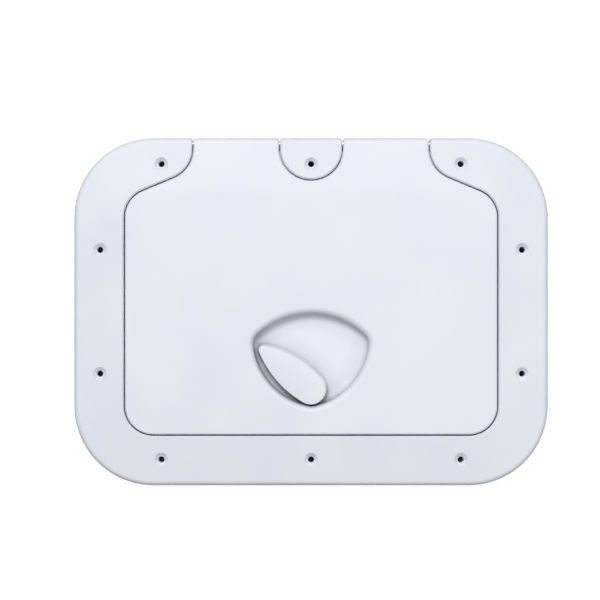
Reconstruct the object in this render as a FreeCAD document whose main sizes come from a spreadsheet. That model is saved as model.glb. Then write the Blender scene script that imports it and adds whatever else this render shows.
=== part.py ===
import FreeCAD, Part
import math
import os
from types import SimpleNamespace

import Sketcher

# Access hatch with a flush hinged lid and a turn latch, in millimetres.
# The origin is the centre of the deck plane, under the flange. +Z is up, and the hinge is at +Y.

SIZES = {
    # Plan of the frame and the lid
    "flange_length": 375.0,
    "flange_breadth": 275.0,
    "flange_band": 39.4,
    "lid_corner": 22.3,
    "panel_gap": 1.2,
    # Heights above and below the deck
    "crown_height": 12.0,
    "flange_slope": 3.5,
    "outer_rounding": 4.0,
    "gutter_depth": 4.0,
    "coaming_height": 4.5,
    "collar_depth": 26.0,
    # Walls of the frame moulding
    "frame_skin": 3.0,
    "frame_wall": 2.5,
    "gutter_width": 9.0,
    "frame_rib": 2.0,
    "shelf_thickness": 3.0,
    "lip_chamfer": 1.0,
    # Deck screws
    "screw_hole": 5.0,
    "countersink": 10.6,
    "screw_boss": 13.0,
    "screw_inset": 20.5,
    "screw_pitch_long": 118.4,
    "screw_pitch_short": 49.0,
    # Hinge tabs, barrels and pins
    "tab_radius": 24.3,
    "tab_pitch": 118.4,
    "tab_setback": 8.5,
    "lug_thickness": 5.0,
    "barrel_radius": 4.5,
    "barrel_clearance": 1.0,
    "pin_diameter": 4.0,
    "pin_length": 24.0,
    "pin_running_clearance": 0.06,
    "pin_tail": 2.0,
    "pin_end_clearance": 1.0,
    # Lid moulding
    "lid_skin": 3.0,
    "lid_skirt": 2.5,
    "skirt_depth": 2.0,
    "neck_slope": 3.2,
    "crease_setback": 43.0,
    "crease_radius": 90.0,
    "neck_wall": 2.0,
    "neck_skirt_height": 3.6,
    "lid_lip_chamfer": 1.0,
    "lid_rib": 2.0,
    "lid_rib_height": 2.0,
    "rib_beside_dish": 6.0,
    "rib_pitch_across": 40.0,
    "rib_behind_dish": 8.0,
    "rib_pitch_along": 38.0,
    "rib_front_setback": 42.0,
    "seal_rib": 1.6,
    "seal_rib_height": 5.8,
    "seal_width": 6.0,
    "seal_side_clearance": 0.2,
    "seal_lift": 0.3,
    "seal_chamfer": 1.2,
    # Latch dish in the lid
    "latch_setback": 77.2,
    "dish_top_radius": 62.9,
    "dish_top_drop": 3.2,
    "dish_side_radius": 55.6,
    "dish_side_offset": 9.2,
    "dish_side_rise": 39.7,
    "dish_corner": 11.0,
    "dish_nose": 13.0,
    "dish_floor_height": 0.5,
    "dish_wall": 2.5,
    "dish_draft": 5.0,
    "dish_rim_rounding": 4.5,
    "dish_floor_rounding": 4.5,
    # Turn lever and its spindle
    "lever_hub": 13.5,
    "lever_tip": 5.0,
    "lever_reach": 49.2,
    "lever_side_radius": 83.0,
    "lever_rest_angle": 140.5,
    "lever_float": 0.1,
    "lever_sink": 0.2,
    "lever_wall": 2.2,
    "lever_top_skin": 2.5,
    "leaf_thickness": 7.5,
    "hub_radius": 9.5,
    "lever_chamfer": 1.2,
    "spindle_radius": 6.0,
    "spindle_clearance": 0.08,
    "spindle_boss": 9.5,
    "boss_drop": 6.0,
    "square_side": 8.0,
    "square_clearance": 0.05,
    # Sealing ring, washers, cam and screw on the spindle
    "ring_thickness": 1.5,
    "ring_clearance": 0.02,
    "ring_groove_width": 2.2,
    "ring_depth": 4.5,
    "thrust_thickness": 0.9,
    "thrust_radius": 8.8,
    "face_clearance": 0.05,
    "cam_thickness": 4.0,
    "cam_hub": 9.0,
    "cam_length": 24.0,
    "cam_nose": 6.0,
    "cam_rest_angle": 10.0,
    "cam_ramp": 1.0,
    "washer_thickness": 1.0,
    "washer_radius": 7.0,
    "washer_clearance": 0.2,
    "screw_radius": 2.0,
    "screw_thread_length": 10.0,
    "thread_end_clearance": 1.0,
    "screw_head_radius": 3.8,
    "screw_head_height": 2.4,
    "screw_socket": 3.0,
    "screw_socket_depth": 1.4,
    # Keeper ledge on the collar
    "keeper_play": 0.4,
    "keeper_thickness": 3.6,
    "keeper_reach": 7.1,
    "keeper_half_width": 16.0,
    "keeper_gusset": 4.0,
    "keeper_lip": 1.0,
}

OVERCUT = 5.0  # how far a cutting tool runs past what it cuts
MERGE = 0.5  # how far an added wall runs into the plate that carries it


class Size:
    """A number with the sheet formula that gives it, so that what is made from it stays tied to the sheet."""

    def __init__(self, number, formula):
        self.number = number
        self.formula = formula

    def __float__(self):
        return self.number

    def __add__(self, other):
        return join(self, "+", other, self.number + float(other))

    def __sub__(self, other):
        return join(self, "-", other, self.number - float(other))

    def __rsub__(self, other):
        return join(other, "-", self, float(other) - self.number)

    def __mul__(self, other):
        return join(self, "*", other, self.number * float(other))

    def __truediv__(self, other):
        return join(self, "/", other, self.number / float(other))

    def __neg__(self):
        return 0.0 - self

    __radd__ = __add__
    __rmul__ = __mul__


def join(left, sign, right, number):
    return Size(number, f"({formula_of(left)} {sign} {formula_of(right)})")


def formula_of(value):
    return value.formula if isinstance(value, Size) else repr(float(value))


def turned(function, angle):
    """The sine, cosine or tangent of an angle given in degrees."""
    number = getattr(math, function)(math.radians(float(angle)))
    return Size(number, f"{function}({formula_of(angle)} * 1 deg)")


MIDDLE = Size(0.0, "0")

document = FreeCAD.newDocument("access_hatch")
sheet = document.addObject("Spreadsheet::Sheet", "sizes")
for row, (alias, number) in enumerate(SIZES.items(), start=1):
    sheet.set(f"A{row}", alias)
    sheet.set(f"B{row}", str(number))
    sheet.setAlias(f"B{row}", alias)
document.recompute()
s = SimpleNamespace(**{alias: Size(float(sheet.get(alias)), f"sizes.{alias}") for alias in SIZES})

# Places that several pieces share
half_length = s.flange_length / 2
half_breadth = s.flange_breadth / 2
well_corner = s.lid_corner + s.panel_gap
outer_corner = well_corner + s.flange_band
corner_x = half_length - outer_corner
corner_y = half_breadth - outer_corner
coaming_outside = well_corner - s.gutter_width
coaming_inside = coaming_outside - s.frame_wall
tab_y = half_breadth - s.tab_setback
lid_underside = s.crown_height - s.lid_skin
hinge_y = half_breadth - s.barrel_radius
crease_y = half_breadth - s.crease_setback
neck_fall = turned("tan", s.neck_slope)
hinge_z = s.crown_height - (hinge_y - crease_y) * neck_fall - s.barrel_radius / turned("cos", s.neck_slope)
seal_centre = (coaming_inside + coaming_outside) / 2
pivot_y = s.latch_setback - half_breadth
dish_underside = s.dish_floor_height - s.dish_wall
boss_bottom = dish_underside - s.boss_drop
spindle_shoulder = boss_bottom - s.thrust_thickness - s.face_clearance * 2
cam_bottom = spindle_shoulder - s.cam_thickness
washer_bottom = cam_bottom - s.washer_thickness


# Sketches

def origin_plane(body, role):
    return next(feature for feature in body.Origin.OriginFeatures if feature.Role == role)


def new_sketch(body, name, role="XY_Plane", lift=0.0, fall=None):
    """A sketch on one of the body's own planes, lifted along its normal and, if asked, falling rearwards."""
    sketch = body.newObject("Sketcher::SketchObject", name)
    sketch.AttachmentSupport = [(origin_plane(body, role), "")]
    sketch.MapMode = "FlatFace"
    if fall is not None:
        axis = FreeCAD.Vector(-1, 0, 0)
        sketch.AttachmentOffset = FreeCAD.Placement(FreeCAD.Vector(), FreeCAD.Rotation(axis, float(fall)))
        sketch.setExpression("AttachmentOffset.Rotation.Angle", formula_of(fall))
    sketch.setExpression("AttachmentOffset.Base.z", formula_of(lift))
    return sketch


def arc(x, y, radius, begin, end):
    """An arc from one angle to another, in degrees, clockwise where the second is the smaller."""
    turn = 90.0 if end > begin else -90.0
    return SimpleNamespace(
        x=x, y=y, radius=radius, begin=begin, end=end,
        entry=polar(x, y, radius, begin), exit=polar(x, y, radius, end),
        entry_heading=begin + turn, exit_heading=end + turn,
    )


def corner(x, y):
    point = (float(x), float(y))
    return SimpleNamespace(x=x, y=y, radius=None, entry=point, exit=point)


def polar(x, y, radius, angle):
    turn = math.radians(angle)
    return float(x) + float(radius) * math.cos(turn), float(y) + float(radius) * math.sin(turn)


def straight(begin, end):
    heading = math.degrees(math.atan2(end[1] - begin[1], end[0] - begin[0]))
    return SimpleNamespace(radius=None, entry=begin, exit=end, entry_heading=heading, exit_heading=heading)


def apart(first, second):
    return math.dist(first, second) > 1e-6


def vector(point):
    return FreeCAD.Vector(point[0], point[1], 0.0)


def add_shape(sketch, piece):
    """Adds a line or an arc. It gives its number, and which of its ends come first and last on the way."""
    if piece.radius is None:
        return sketch.addGeometry(Part.LineSegment(vector(piece.entry), vector(piece.exit))), 1, 2
    middle = vector((float(piece.x), float(piece.y)))
    circle = Part.Circle(middle, FreeCAD.Vector(0, 0, 1), float(piece.radius))
    low, high = sorted((math.radians(piece.begin), math.radians(piece.end)))
    number = sketch.addGeometry(Part.ArcOfCircle(circle, low, high))
    hold(sketch, "Radius", number, size=piece.radius)
    hold_point(sketch, number, 3, piece.x, piece.y)
    return (number, 1, 2) if piece.end > piece.begin else (number, 2, 1)


def hold(sketch, kind, *where, size):
    number = sketch.addConstraint(Sketcher.Constraint(kind, *where, float(size)))
    sketch.setExpression(f"Constraints[{number}]", formula_of(size))


def hold_point(sketch, number, end, x, y):
    """Holds a point at each coordinate that is a Size, and leaves the other to the joins."""
    for kind, size in (("DistanceX", x), ("DistanceY", y)):
        if isinstance(size, Size):
            hold(sketch, kind, -1, 1, number, end, size=size)


def draw(sketch, items):
    """Draws one closed outline through arcs and corners, with straight lines between those that do not touch.

    Where two pieces run the same way they are tangent. A corner is held at each coordinate that is a Size.
    """
    pieces = []
    corners = {}
    for item, following in zip(items, items[1:] + items[:1]):
        if item.radius is None:
            corners[len(pieces)] = item
        else:
            pieces.append(item)
        if apart(item.exit, following.entry):
            pieces.append(straight(item.exit, following.entry))
    shapes = [add_shape(sketch, piece) for piece in pieces]
    for place, piece in enumerate(pieces):
        number, first, _ = shapes[place]
        before, _, last = shapes[place - 1]
        bend = (piece.entry_heading - pieces[place - 1].exit_heading + 180.0) % 360.0 - 180.0
        kind = "Coincident" if place in corners or abs(bend) > 0.01 else "Tangent"
        sketch.addConstraint(Sketcher.Constraint(kind, before, last, number, first))
        if place in corners:
            hold_point(sketch, number, first, corners[place].x, corners[place].y)


def draw_circle(sketch, x, y, radius):
    centre = vector((float(x), float(y)))
    number = sketch.addGeometry(Part.Circle(centre, FreeCAD.Vector(0, 0, 1), float(radius)))
    hold(sketch, "Radius", number, size=radius)
    hold_point(sketch, number, 3, x, y)


def draw_box(sketch, x_low, x_high, y_low, y_high):
    draw(sketch, [corner(x_low, y_low), corner(x_high, y_low), corner(x_high, y_high), corner(x_low, y_high)])


def draw_polygon(sketch, sides, radius, turn):
    """A regular polygon about the middle, with its first corner at an angle."""
    angles = [turn + 360.0 * step / sides for step in range(sides)]
    draw(sketch, [corner(radius * turned("cos", angle), radius * turned("sin", angle)) for angle in angles])


def draw_ring(sketch, radius):
    """A rounded rectangle about the four corner centres that every wall of the hatch shares."""
    quarters = ((-1, -1, 180), (1, -1, 270), (1, 1, 0), (-1, 1, 90))
    draw(sketch, [arc(corner_x * x, corner_y * y, radius, begin, begin + 90) for x, y, begin in quarters])


def across(items):
    """The same arcs and corners mirrored in the YZ plane, in the opposite order."""
    return [
        corner(-item.x, item.y) if item.radius is None
        else arc(-item.x, item.y, item.radius, 180 - item.end, 180 - item.begin)
        for item in reversed(items)
    ]


def tangent_angle():
    """Where the straight between a corner and a hinge tab leaves the corner's arc, in degrees."""
    run, rise = float(s.tab_pitch - corner_x), float(tab_y - corner_y)
    radii = float(s.lid_corner + s.tab_radius + s.panel_gap)
    return math.degrees(math.atan2(rise, run) - math.acos(radii / math.hypot(run, rise)))


def hinge_side(grow, back):
    """The lid's edge on its hinge side, grown all round, from right to left round the three tabs."""
    notch = s.tab_radius + s.panel_gap - grow
    touch = tangent_angle()
    dip = math.degrees(math.asin(max(0.0, float(tab_y - back)) / float(notch)))
    reach = notch * turned("cos", dip)
    inner = s.tab_pitch - reach
    if dip > 0.0:
        reach, inner = float(reach), float(inner)
    right = [
        arc(corner_x, corner_y, s.lid_corner + grow, 0, touch),
        arc(s.tab_pitch, tab_y, notch, touch + 180, 180 + dip),
        corner(inner, back),
        corner(reach, back),
    ]
    return right + [arc(MIDDLE, tab_y, notch, 360 - dip, 180 + dip)] + across(right)


def lid_edge(grow, back):
    """The lid's whole outline, grown all round."""
    front = [
        arc(-corner_x, -corner_y, s.lid_corner + grow, 180, 270),
        arc(corner_x, -corner_y, s.lid_corner + grow, 270, 360),
    ]
    return front + hinge_side(grow, back)


def neck_edge(grow, back):
    """The part of the lid's outline behind the rear corner centres."""
    reach = float(corner_x + s.lid_corner + grow)
    return [corner(reach, corner_y)] + hinge_side(grow, back) + [corner(-reach, corner_y)]


def meet(first, first_distance, second, second_distance, side):
    """The point at given distances from two others, to the left (1) or right (-1) of the line between."""
    run, rise = second[0] - first[0], second[1] - first[1]
    span = math.hypot(run, rise)
    along = (span ** 2 + first_distance ** 2 - second_distance ** 2) / (2 * span)
    aside = side * math.sqrt(first_distance ** 2 - along ** 2)
    return (
        first[0] + (along * run - aside * rise) / span,
        first[1] + (along * rise + aside * run) / span,
    )


def heading(begin, end):
    return math.degrees(math.atan2(end[1] - begin[1], end[0] - begin[0]))


# Features

def settled(feature):
    document.recompute()
    if "Invalid" in feature.State or "Error" in feature.State or feature.Shape.isNull():
        raise RuntimeError(f"{feature.Label} could not be made: {feature.getStatusString()}")
    return feature


def new_body(name):
    body = document.addObject("PartDesign::Body", name)
    body.Label = name
    return body


def pad(body, name, sketch, length, down=False, draft=None):
    feature = body.newObject("PartDesign::Pad", name)
    feature.Profile = sketch
    feature.Reversed = down
    feature.setExpression("Length", formula_of(length))
    if draft is not None:
        feature.setExpression("TaperAngle", formula_of(draft))
    return settled(feature)


def cut_away(body, kind, name, profile):
    """A feature that takes material away, with the volume before it, to notice one that cuts nothing."""
    volume = body.Shape.Volume
    feature = body.newObject(kind, name)
    feature.Profile = profile
    return feature, volume


def checked_cut(feature, volume):
    settled(feature)
    if feature.Shape.Volume > volume - 0.01:
        raise RuntimeError(f"{feature.Label} cuts nothing")
    return feature


def pocket(body, name, sketch, length=None, up=False, draft=None):
    feature, volume = cut_away(body, "PartDesign::Pocket", name, sketch)
    feature.Reversed = up
    if length is None:
        feature.Type = "ThroughAll"
    else:
        feature.setExpression("Length", formula_of(length))
    if draft is not None:
        feature.setExpression("TaperAngle", formula_of(draft))
    return checked_cut(feature, volume)


def pocket_both_ways(body, name, sketch):
    feature, volume = cut_away(body, "PartDesign::Pocket", name, sketch)
    feature.Type = "ThroughAll"
    feature.SideType = "Symmetric"
    return checked_cut(feature, volume)


def sweep_away(body, name, profile, path):
    """Takes away what a profile passes through on its way round a closed path."""
    feature, volume = cut_away(body, "PartDesign::SubtractivePipe", name, profile)
    feature.Spine = (path, [f"Edge{number}" for number in range(1, len(path.Shape.Edges) + 1)])
    return checked_cut(feature, volume)


def rounded(body, name, radius, edge_test):
    """Rounds the edges of the body that pass a test."""
    base = body.Tip
    chosen = [f"Edge{number}" for number, edge in enumerate(base.Shape.Edges, start=1) if edge_test(edge)]
    feature = body.newObject("PartDesign::Fillet", name)
    feature.Base = (base, chosen)
    feature.setExpression("Radius", formula_of(radius))
    return settled(feature)


def chamfered(body, name, length, edge_test):
    base = body.Tip
    chosen = [f"Edge{number}" for number, edge in enumerate(base.Shape.Edges, start=1) if edge_test(edge)]
    feature = body.newObject("PartDesign::Chamfer", name)
    feature.Base = (base, chosen)
    feature.setExpression("Size", formula_of(length))
    return settled(feature)


def samples(edge):
    return [edge.valueAt(edge.FirstParameter + share * (edge.LastParameter - edge.FirstParameter))
            for share in (0.0, 0.5, 1.0)]


def above_outline(sketch, low, high):
    """A test for edges that lie straight over a sketch's outline, between two heights."""
    level = sketch.Shape.BoundBox.ZMin

    def test(edge):
        return all(
            float(low) < point.z < float(high)
            and Part.Vertex(point.x, point.y, level).distToShape(sketch.Shape)[0] < 0.01
            for point in samples(edge)
        )

    return test


def at_level(height):
    """A test for edges that lie in one level plane."""
    return lambda edge: all(abs(point.z - float(height)) < 0.001 for point in samples(edge))


# The frame

def make_frame():
    body = new_body("frame")
    rib_top = lid_underside
    band_slope = turned("tan", s.flange_slope)

    block = new_sketch(body, "flange_outline")
    draw_ring(block, outer_corner)
    pad(body, "flange_block", block, s.crown_height + MERGE)

    path = new_sketch(body, "well_path")
    draw_ring(path, well_corner)
    wall_line = well_corner + s.frame_wall
    rim_line = outer_corner - s.frame_wall

    def ceiling(radius):
        return s.crown_height - s.frame_skin - (radius - well_corner) * band_slope

    hollow = new_sketch(body, "underside_section", "YZ_Plane")
    draw(hollow, [
        corner(-corner_y - rim_line, MIDDLE - OVERCUT),
        corner(-corner_y - wall_line, MIDDLE - OVERCUT),
        corner(-corner_y - wall_line, ceiling(wall_line)),
        corner(-corner_y - rim_line, ceiling(rim_line)),
    ])
    sweep_away(body, "underside", hollow, path)

    ribs = new_sketch(body, "rib_outlines")
    for step in (-2.5, -1.5, -0.5, 0.5, 1.5, 2.5):
        x = s.screw_pitch_long / 3 * step
        front = -corner_y - wall_line + MERGE
        draw_box(ribs, x - s.frame_rib / 2, x + s.frame_rib / 2, -corner_y - rim_line - MERGE, front)
    for side in (-1, 1):
        for step in (-1.5, -0.5, 0.0, 0.5, 1.5):
            y = s.screw_pitch_short * step
            ends = (side * (corner_x + wall_line - MERGE), side * (corner_x + rim_line + MERGE))
            inner, outer = sorted(ends, key=float)
            draw_box(ribs, inner, outer, y - s.frame_rib / 2, y + s.frame_rib / 2)
    pad(body, "ribs", ribs, rib_top)

    bosses = new_sketch(body, "boss_circles")
    for x, y in screw_places():
        draw_circle(bosses, x, y, s.screw_boss / 2)
    pad(body, "screw_bosses", bosses, rib_top)

    walls = new_sketch(body, "tab_wall_outlines")
    for items in tab_walls():
        draw(walls, items)
    pad(body, "tab_walls", walls, rib_top)

    lugs = new_sketch(body, "lug_outlines")
    back = half_breadth - s.frame_wall / 2
    for x_low in lug_places():
        draw_box(lugs, x_low, x_low + s.lug_thickness, tab_y, back)
    pad(body, "hinge_lugs", lugs, rib_top)

    crown = new_sketch(body, "crown_section", "YZ_Plane")
    fall = (s.flange_band - s.outer_rounding) * band_slope + s.outer_rounding / turned("cos", s.flange_slope)
    rounding_z = s.crown_height - fall
    draw(crown, [
        corner(-corner_y - well_corner, s.crown_height),
        corner(-corner_y - well_corner + OVERCUT, s.crown_height),
        corner(-corner_y - well_corner + OVERCUT, s.crown_height + OVERCUT),
        corner(-half_breadth - OVERCUT, s.crown_height + OVERCUT),
        corner(-half_breadth - OVERCUT, rounding_z),
        arc(-half_breadth + s.outer_rounding, rounding_z, s.outer_rounding, 180, 90 + float(s.flange_slope)),
    ])
    sweep_away(body, "crown", crown, path)

    shelf = new_sketch(body, "shelf_outline")
    shelf_back = hinge_y - s.barrel_radius - s.barrel_clearance
    draw(shelf, lid_edge(s.panel_gap + s.frame_wall / 2, shelf_back))
    pad(body, "neck_shelf", shelf, s.shelf_thickness)

    bay = new_sketch(body, "bay_outline", lift=s.shelf_thickness)
    draw(bay, lid_edge(s.panel_gap, half_breadth + OVERCUT))
    pocket(body, "lid_bay", bay, up=True)

    rim_gap = new_sketch(body, "rim_gap_outlines", lift=s.shelf_thickness)
    for side in (-1, 1):
        near, far = sorted((side * s.tab_radius, side * (s.tab_pitch - s.tab_radius)), key=float)
        draw_box(rim_gap, near, far, tab_y + s.barrel_clearance, half_breadth + OVERCUT)
    pocket(body, "rim_gaps", rim_gap)

    well = new_sketch(body, "well_outline", lift=s.shelf_thickness)
    draw_ring(well, well_corner)
    pocket(body, "well", well)

    floor_bottom = -s.gutter_depth - s.frame_wall
    gutter_wall = new_sketch(body, "gutter_wall_outline", lift=floor_bottom)
    draw_ring(gutter_wall, wall_line)
    draw_ring(gutter_wall, well_corner)
    pad(body, "gutter_wall", gutter_wall, s.shelf_thickness - floor_bottom)

    gutter = new_sketch(body, "gutter_floor_outline", lift=floor_bottom)
    draw_ring(gutter, wall_line)
    draw_ring(gutter, coaming_inside)
    pad(body, "gutter_floor", gutter, s.frame_wall)

    coaming = new_sketch(body, "coaming_outline", lift=-s.collar_depth)
    draw_ring(coaming, coaming_outside)
    draw_ring(coaming, coaming_inside)
    pad(body, "coaming", coaming, s.collar_depth + s.coaming_height)

    make_keeper(body)

    bore_end = s.tab_pitch - s.tab_radius + s.lug_thickness + s.pin_tail + s.pin_end_clearance
    bores = new_sketch(body, "pin_bore_circle", "YZ_Plane", lift=-bore_end)
    draw_circle(bores, hinge_y, hinge_z, s.pin_diameter / 2)
    pocket(body, "pin_bores", bores, bore_end * 2, up=True)

    rise = s.screw_boss / 2 * band_slope
    seat = s.crown_height - (s.flange_band - s.screw_inset) * band_slope
    holes = new_sketch(body, "screw_circles", lift=seat + rise)
    for x, y in screw_places():
        draw_circle(holes, x, y, s.screw_hole / 2)
    hole, volume = cut_away(body, "PartDesign::Hole", "screw_holes", holes)
    hole.DepthType = "ThroughAll"
    hole.HoleCutType = "Countersink"
    hole.HoleCutCustomValues = True
    hole.HoleCutCountersinkAngle = 90
    hole.setExpression("Diameter", formula_of(s.screw_hole))
    hole.setExpression("HoleCutDiameter", formula_of(s.countersink + rise * 2))
    checked_cut(hole, volume)

    chamfered(body, "lip", s.lip_chamfer,
              above_outline(bay, s.crown_height - s.outer_rounding, s.crown_height + MERGE))
    return body


def screw_places():
    """The middles of the ten deck screws: three along each long side and two along each short side."""
    long_y = half_breadth - s.screw_inset
    short_x = half_length - s.screw_inset
    along = [(s.screw_pitch_long * step, long_y * side) for side in (-1, 1) for step in (-1, 0, 1)]
    return along + [(short_x * side, s.screw_pitch_short * step) for side in (-1, 1) for step in (-1, 1)]


def tab_walls():
    """The walls that stand under the edges of the three hinge tabs."""
    inner, outer = well_corner, well_corner + s.frame_wall
    near, far = s.tab_radius, s.tab_radius - s.frame_wall
    back = half_breadth - s.frame_wall / 2
    touch = tangent_angle()
    right = [
        corner(float(corner_x + outer), corner_y),
        arc(corner_x, corner_y, outer, 0, touch),
        arc(s.tab_pitch, tab_y, far, touch + 180, 180),
        corner(s.tab_pitch - far, back),
        corner(s.tab_pitch - near, back),
        arc(s.tab_pitch, tab_y, near, 180, touch + 180),
        arc(corner_x, corner_y, inner, touch, 0),
        corner(float(corner_x + inner), corner_y),
    ]
    centre = [
        corner(near, back),
        corner(far, back),
        arc(MIDDLE, tab_y, far, 360, 180),
        corner(-far, back),
        corner(-near, back),
        arc(MIDDLE, tab_y, near, 180, 360),
    ]
    return right, centre, across(right)


def lug_places():
    """The lower x of the four lugs, which stand along the straight sides of the tabs."""
    side = s.tab_pitch - s.tab_radius
    return -side - s.lug_thickness, -s.tab_radius, s.tab_radius - s.lug_thickness, side


def make_keeper(body):
    """The ledge on the front of the collar that the latch cam turns under, with gussets above it."""
    wall = -corner_y - coaming_inside
    under = spindle_shoulder + s.keeper_play
    ledge = new_sketch(body, "keeper_outline", lift=under)
    draw_box(ledge, -s.keeper_half_width, s.keeper_half_width, wall - MERGE, wall + s.keeper_reach)
    pad(body, "keeper", ledge, s.keeper_thickness)
    top = under + s.keeper_thickness
    for step in (-1, 0, 1):
        x = (s.keeper_half_width - s.frame_rib / 2) * step
        gusset = new_sketch(body, f"gusset_outline_{step + 2}", "YZ_Plane", lift=x - s.frame_rib / 2)
        draw(gusset, [
            corner(wall - MERGE, top - MERGE),
            corner(wall + s.keeper_reach - s.keeper_lip, top - MERGE),
            corner(wall - MERGE, top + s.keeper_gusset),
        ])
        pad(body, f"gusset_{step + 2}", gusset, s.frame_rib)


# The lid

def make_lid():
    body = new_body("lid")
    slab = new_sketch(body, "slab_outline", lift=s.neck_skirt_height)
    draw(slab, lid_edge(MIDDLE, half_breadth))
    pad(body, "slab", slab, s.crown_height - s.neck_skirt_height)
    pocket_both_ways(body, "neck_crown", neck_crown_section(body))
    chamfered(body, "lip", s.lid_lip_chamfer,
              above_outline(slab, s.crown_height - s.outer_rounding, s.crown_height + MERGE))

    ceiling = s.crown_height - s.lid_skin / turned("cos", s.neck_slope) + crease_y * neck_fall
    neck = new_sketch(body, "neck_hollow_outline", lift=ceiling, fall=s.neck_slope)
    draw(neck, neck_edge(-s.neck_wall, hinge_y - s.barrel_radius / 2))
    pocket(body, "neck_hollow", neck)

    skirt = new_sketch(body, "skirt_outline", lift=-s.skirt_depth)
    draw_ring(skirt, s.lid_corner)
    pad(body, "skirt", skirt, s.skirt_depth + s.crown_height - s.lid_lip_chamfer - MERGE)
    inside = new_sketch(body, "inside_outline", lift=-s.skirt_depth)
    draw_ring(inside, s.lid_corner - s.lid_skirt)
    pocket(body, "inside", inside, s.skirt_depth + lid_underside, up=True)

    make_barrels(body)

    rib_height = lid_underside - s.seal_rib_height + MERGE
    outer_rib = seal_centre + s.seal_width / 2 + s.seal_side_clearance
    inner_rib = seal_centre - s.seal_width / 2 - s.seal_side_clearance
    seal_ribs = (("outer", outer_rib, outer_rib + s.seal_rib), ("inner", inner_rib - s.seal_rib, inner_rib))
    for name, near, far in seal_ribs:
        rib = new_sketch(body, f"{name}_seal_rib_outline", lift=s.seal_rib_height)
        draw_ring(rib, far)
        draw_ring(rib, near)
        pad(body, f"{name}_seal_rib", rib, rib_height)

    make_lid_ribs(body, inner_rib - s.seal_rib / 2)
    make_dish(body)
    return body


def neck_crown_section(body):
    """What is cut off above the neck: flat, a soft crease, the slope, then round the hinge barrel's back."""
    start = crease_y - s.crease_radius * turned("tan", s.neck_slope / 2)
    crease_z = float(s.crown_height - s.crease_radius)
    slope_angle = 90.0 - float(s.neck_slope)
    below = hinge_z - s.barrel_radius - MERGE
    beyond = half_breadth + OVERCUT
    section = new_sketch(body, "neck_crown_section", "YZ_Plane")
    draw(section, [
        corner(start, s.crown_height),
        arc(start, crease_z, s.crease_radius, 90, slope_angle),
        arc(hinge_y, float(hinge_z), s.barrel_radius, slope_angle, -90),
        corner(hinge_y, hinge_z - s.barrel_radius),
        corner(hinge_y, below),
        corner(beyond, below),
        corner(beyond, s.crown_height + OVERCUT),
        corner(start, s.crown_height + OVERCUT),
    ])
    return section


def make_barrels(body):
    """The two hinge barrels between the tabs, with a blind bore for a pin in each end."""
    inner_end = s.tab_radius + s.panel_gap + s.lid_lip_chamfer
    outer_end = s.tab_pitch - inner_end
    for side in (-1, 1):
        low, high = sorted((inner_end * side, outer_end * side), key=float)
        barrel = new_sketch(body, f"barrel_circle_{side + 2}", "YZ_Plane", lift=low)
        draw_circle(barrel, hinge_y, hinge_z, s.barrel_radius)
        pad(body, f"barrel_{side + 2}", barrel, high - low)
    depth = s.pin_length - s.pin_tail - s.lug_thickness + s.pin_end_clearance
    inner_lug, outer_lug = s.tab_radius, s.tab_pitch - s.tab_radius
    ends = ((-outer_lug, True), (-inner_lug, False), (inner_lug, True), (outer_lug, False))
    for number, (end, to_right) in enumerate(ends, start=1):
        bore = new_sketch(body, f"bore_circle_{number}", "YZ_Plane", lift=end)
        draw_circle(bore, hinge_y, hinge_z, s.pin_diameter / 2 + s.pin_running_clearance)
        pocket(body, f"bore_{number}", bore, depth, up=to_right)


def make_lid_ribs(body, edge_radius):
    """Stiffening ribs under the plate: four across it, two along it above the dish, one each side of it."""
    reach_x, reach_y = corner_x + edge_radius, corner_y + edge_radius
    rise = lid_underside - s.lid_rib_height + MERGE
    half = s.lid_rib / 2
    across_ribs = new_sketch(body, "ribs_across_outlines", lift=s.lid_rib_height)
    dish_side = s.dish_side_radius - s.dish_side_offset + s.dish_wall
    beside = dish_side + s.rib_beside_dish
    for x in (beside, beside + s.rib_pitch_across):
        for side in (-1, 1):
            draw_box(across_ribs, x * side - half, x * side + half, -reach_y, reach_y)
    pad(body, "ribs_across", across_ribs, rise)
    along_ribs = new_sketch(body, "ribs_along_outlines", lift=s.lid_rib_height)
    dish_top = pivot_y - s.dish_top_drop + s.dish_top_radius + s.dish_wall
    for y in (dish_top + s.rib_behind_dish, dish_top + s.rib_behind_dish + s.rib_pitch_along):
        draw_box(along_ribs, -reach_x, reach_x, y - half, y + half)
    y = dish_top - s.rib_front_setback
    draw_box(along_ribs, -reach_x, -beside, y - half, y + half)
    draw_box(along_ribs, beside, reach_x, y - half, y + half)
    pad(body, "ribs_along", along_ribs, rise)


def dish_outline(grow):
    """The dish from above: an arc across the top, a long arc down each side, rounded corners and a nose."""
    top_radius, side_radius = s.dish_top_radius + grow, s.dish_side_radius + grow
    corner_radius, nose_radius = s.dish_corner + grow, s.dish_nose + grow
    top_y, side_y = pivot_y - s.dish_top_drop, pivot_y + s.dish_side_rise
    top = (0.0, float(top_y))
    side = (-float(s.dish_side_offset), float(side_y))
    turn = meet(top, float(top_radius - corner_radius), side, float(side_radius - corner_radius), -1)
    nose = (0.0, side[1] - math.sqrt(float(side_radius - nose_radius) ** 2 - side[0] ** 2))
    at_nose, at_turn, at_top = heading(side, nose), heading(side, turn), heading(top, turn)
    right = [
        arc(-s.dish_side_offset, side_y, side_radius, at_nose, at_turn),
        arc(turn[0], turn[1], corner_radius, at_turn, at_top),
    ]
    return (
        [arc(nose[0], nose[1], nose_radius, -180 - at_nose, at_nose)] + right
        + [arc(MIDDLE, top_y, top_radius, at_top, 180 - at_top)] + across(right)
    )


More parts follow.
